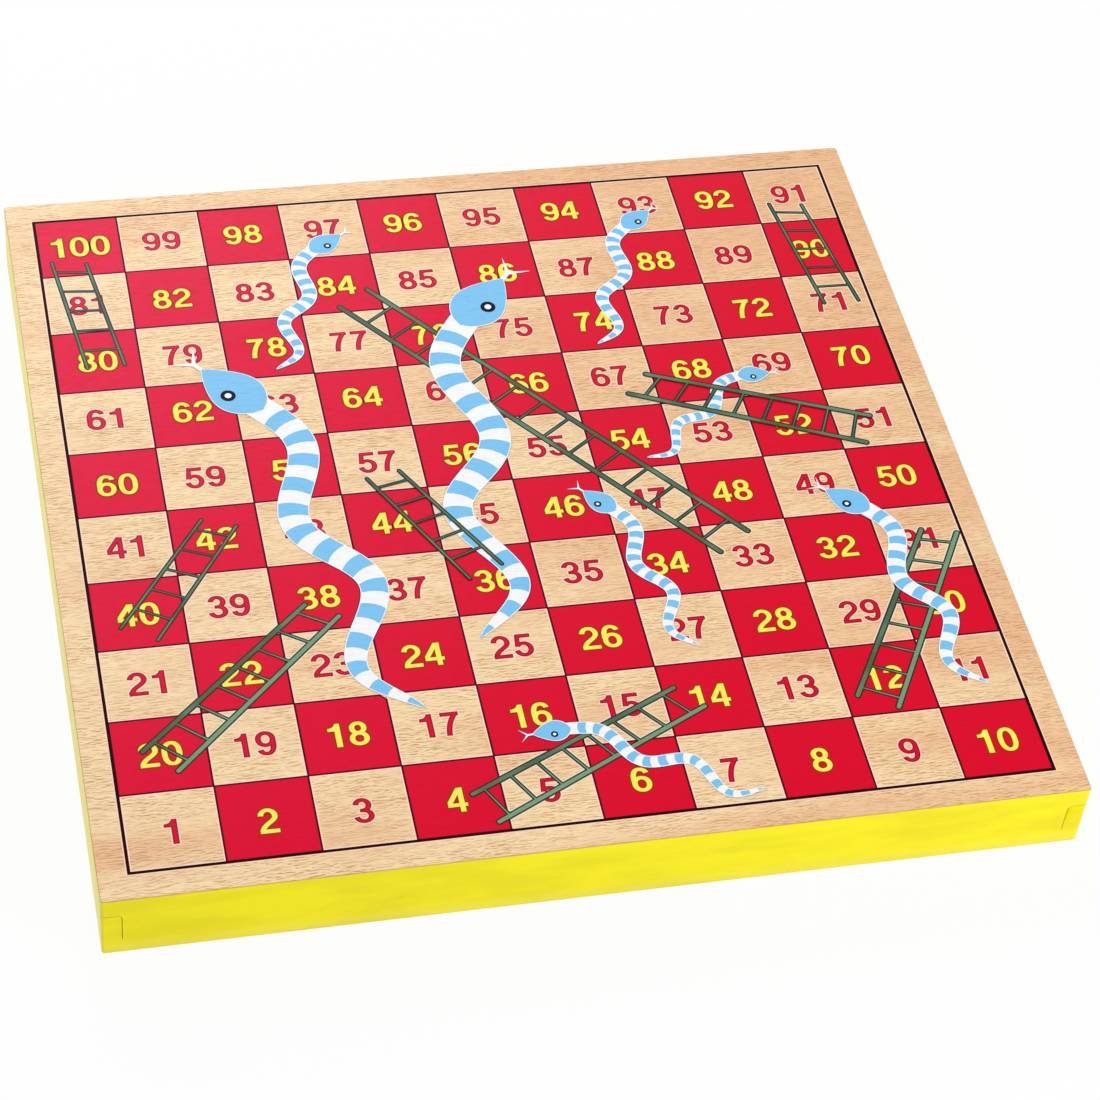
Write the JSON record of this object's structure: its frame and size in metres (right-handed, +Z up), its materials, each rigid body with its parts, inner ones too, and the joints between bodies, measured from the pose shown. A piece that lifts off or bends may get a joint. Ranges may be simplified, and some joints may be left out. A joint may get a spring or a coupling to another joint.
{
  "type": "snakes and ladders board",
  "caption": "Square printed snakes and ladders board on a shallow painted wooden box, with a sliding base lid and bins for the pawns and the die.",
  "frame": {"origin": "middle of the underside, on the table", "axes": "+X along the front rail to the right, +Y from the front rail to the back rail, +Z up through the playing face"},
  "size_m": [0.3, 0.3, 0.0253],
  "materials": {
    "beech_board": "clear satin lacquer over beech veneer",
    "yellow_paint": "smooth yellow paint on wood",
    "plywood": "bare, sanded",
    "bare_wood": "bare, sanded",
    "red_ink": "thin screen-printed ink",
    "black_ink": "thin screen-printed ink",
    "green_ink": "thin screen-printed ink",
    "white_ink": "thin screen-printed ink",
    "blue_ink": "thin screen-printed ink",
    "red_lacquer": "glossy lacquer on turned wood",
    "blue_lacquer": "glossy lacquer on turned wood",
    "green_lacquer": "glossy lacquer on turned wood",
    "yellow_lacquer": "glossy lacquer on turned wood",
    "ivory_lacquer": "glossy lacquer on wood"
  },
  "bodies": {
    "box": {"playing_board": "beech_board", "front_rail": "yellow_paint", "back_rail": "yellow_paint", "left_rail": "yellow_paint", "right_rail": "yellow_paint", "centre_rib": "bare_wood", "bin_divider": "bare_wood", "printed_red_squares": "red_ink", "printed_grid_lines": "black_ink", "printed_ladders": "green_ink", "printed_snake_bodies": "white_ink", "printed_snake_bands": "blue_ink", "printed_snake_eyes": "black_ink", "pawn_red": "red_lacquer", "pawn_blue": "blue_lacquer", "pawn_green": "green_lacquer", "pawn_yellow": "yellow_lacquer", "die": "ivory_lacquer"},
    "lid": {"base_lid": "plywood", "lid_pull_strip": "yellow_paint"}
  },
  "joints": [
    {"name": "lid_slide", "type": "slide", "parent": "box", "child": "lid", "axis": [0, 1, 0], "range_m": [0, 0.28]}
  ]
}
